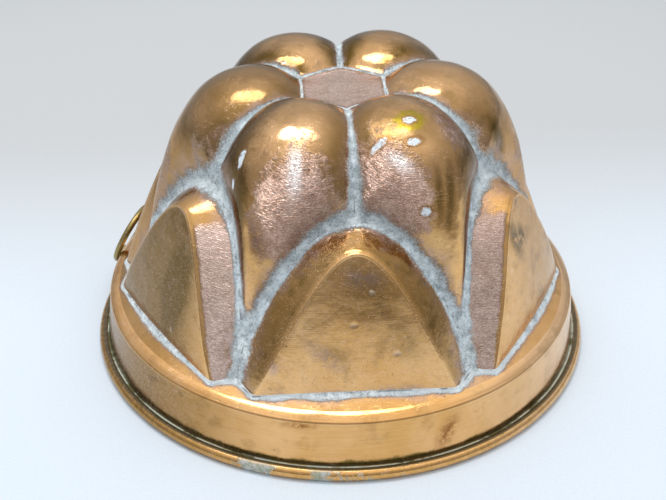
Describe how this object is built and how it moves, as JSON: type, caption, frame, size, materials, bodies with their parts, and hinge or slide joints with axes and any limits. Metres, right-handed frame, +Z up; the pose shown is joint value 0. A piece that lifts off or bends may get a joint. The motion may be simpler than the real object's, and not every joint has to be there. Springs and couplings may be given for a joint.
{
  "type": "cake mould",
  "caption": "Round lobed copper cake mould with pointed side panels, a sloping ledge, a wired rim band and a swinging brass hanging ring.",
  "frame": {"origin": "centre of the rim, in the plane that the rim stands on", "axes": "+Z up through the flat centre of the crown, -Y out through the middle of one pointed panel, the hanging ring near -X"},
  "size_m": [0.22, 0.22, 0.1247],
  "materials": {
    "copper_crown": "hammered copper, polished by hand, with pale polish left in the creases",
    "copper_skirt": "polished copper with fine scratches and a dark line above the rim",
    "iron_wire": "drawn iron wire, hidden inside the rolled rim",
    "brass": "dull brass",
    "brass_ring": "brass rod worn smooth"
  },
  "bodies": {
    "mould": {"crown": "copper_crown", "skirt": "copper_skirt", "rim_wire": "iron_wire", "ring_strap": "brass", "strap_rivet_upper": "brass", "strap_rivet_lower": "brass"},
    "ring": {"hanging_ring": "brass_ring"}
  },
  "joints": [
    {"name": "ring_swing", "type": "hinge", "parent": "mould", "child": "ring", "pos_m": [-0.10186, 0.0391, 0.0134], "axis": [-0.3584, -0.9336, 0], "range_deg": [0, 192]}
  ]
}
